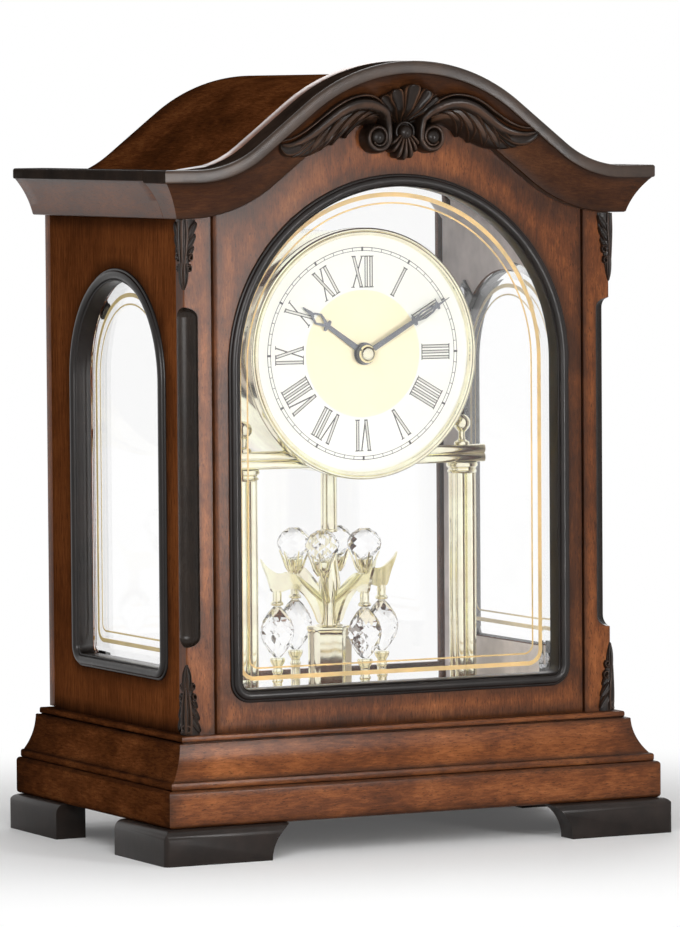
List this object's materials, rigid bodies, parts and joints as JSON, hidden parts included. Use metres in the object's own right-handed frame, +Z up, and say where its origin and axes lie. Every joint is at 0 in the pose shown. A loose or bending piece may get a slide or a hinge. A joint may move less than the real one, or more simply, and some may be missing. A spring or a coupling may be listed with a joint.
{
  "type": "chiming mantel clock",
  "caption": "Walnut mantel clock with an arched glazed front, round dial on brass columns and a revolving crystal pendulum.",
  "frame": {"origin": "centre of the whole clock's footprint, on the floor under the feet", "axes": "+X to the right seen from the front, +Y to the back, +Z up; the dial looks along -Y"},
  "size_m": [0.2308, 0.1536, 0.3175],
  "materials": {
    "case_wood": "satin walnut, reddish brown, darkened edges",
    "foot_black": "black brown satin lacquer",
    "trim_black": "black satin lacquer",
    "window_glass": "clear, bevelled edge",
    "steel": "bright",
    "polished_brass": "polished, lacquered",
    "gear_brass": "plain turned",
    "dial_ivory": "satin ivory with dark numerals",
    "hand_grey": "satin dark grey",
    "black_plastic": "fine matt",
    "board_green": "semi gloss",
    "speaker_grey": "matt",
    "battery_sleeve": "printed sleeve, plain",
    "switch_white": "gloss",
    "crystal": "clear cut crystal"
  },
  "bodies": {
    "case": {"base_board": "case_wood", "base_mouldings": "case_wood", "front_left_foot": "foot_black", "front_right_foot": "foot_black", "rear_left_foot": "foot_black", "rear_right_foot": "foot_black", "floor_board": "case_wood", "left_side_panel": "case_wood", "right_side_panel": "case_wood", "front_panel": "case_wood", "left_corner_stile": "case_wood", "right_corner_stile": "case_wood", "front_cornice": "case_wood", "side_cornices": "case_wood", "roof_shell": "case_wood", "roof_battens": "case_wood", "front_window_moulding": "trim_black", "side_window_mouldings": "trim_black", "front_glass": "window_glass", "left_glass": "window_glass", "right_glass": "window_glass", "crest_carving": "trim_black", "upper_corner_carvings": "trim_black", "lower_corner_carvings": "trim_black", "glass_clips": "black_plastic", "clip_screws": "steel", "door_magnet": "steel", "mirror_plate": "polished_brass", "left_column": "polished_brass", "right_column": "polished_brass", "column_finials": "polished_brass", "cross_bars": "polished_brass", "bezel": "polished_brass", "dial": "dial_ivory", "dial_drum": "polished_brass", "drum_back": "black_plastic", "movement_case": "black_plastic", "movement_plate": "black_plastic", "circuit_board": "board_green", "speaker": "speaker_grey", "pendulum_motor": "black_plastic", "suspension_tube": "polished_brass", "battery": "battery_sleeve", "door_pivot_pins": "steel"},
    "back_door": {"back_door_frame": "case_wood", "back_door_glass": "window_glass", "door_pull": "polished_brass"},
    "hour_set": {"hour_wheel": "gear_brass", "hour_hand": "hand_grey"},
    "minute_set": {"minute_arbor": "steel", "minute_hand": "hand_grey", "hand_cap": "polished_brass"},
    "idler_set": {"idler_wheel": "gear_brass", "setting_knob": "black_plastic"},
    "battery_cover": {"battery_cover": "black_plastic"},
    "melody_switch": {"melody_switch": "switch_white"},
    "volume_knob": {"volume_knob": "black_plastic"},
    "pendulum": {"pendulum_frame": "polished_brass", "upper_crystals": "crystal", "lower_crystals": "crystal"}
  },
  "joints": [
    {"name": "back_door_hinge", "type": "hinge", "parent": "case", "child": "back_door", "pos_m": [0.0933, 0.0739, 0.06], "axis": [0, 0, -1], "range_deg": [0, 95]},
    {"name": "minute_hand_turn", "type": "hinge", "parent": "case", "child": "minute_set", "pos_m": [0, -0.024, 0.1984], "axis": [0, 1, 0], "continuous": true},
    {"name": "hour_hand_turn", "type": "hinge", "parent": "case", "child": "hour_set", "pos_m": [0, -0.024, 0.1984], "axis": [0, 1, 0], "continuous": true},
    {"name": "setting_knob_turn", "type": "hinge", "parent": "case", "child": "idler_set", "pos_m": [0, 0.0255, 0.1864], "axis": [0, 1, 0], "continuous": true},
    {"name": "pendulum_turn", "type": "hinge", "parent": "case", "child": "pendulum", "pos_m": [0, 0.008, 0.11], "axis": [0, 0, 1], "continuous": true},
    {"name": "battery_cover_hinge", "type": "hinge", "parent": "case", "child": "battery_cover", "pos_m": [0, 0.02425, 0.2082], "axis": [-1, 0, 0], "range_deg": [0, 95]},
    {"name": "melody_switch_slide", "type": "slide", "parent": "case", "child": "melody_switch", "axis": [1, 0, 0], "range_m": [0, 0.006]},
    {"name": "volume_knob_turn", "type": "hinge", "parent": "case", "child": "volume_knob", "pos_m": [0.017, 0.0255, 0.1654], "axis": [0, 1, 0], "range_deg": [0, 270]}
  ],
  "couplings": [
    {"joint": "hour_hand_turn", "follows": "minute_hand_turn", "ratio": 0.083333},
    {"joint": "setting_knob_turn", "follows": "minute_hand_turn", "ratio": -0.33333}
  ]
}
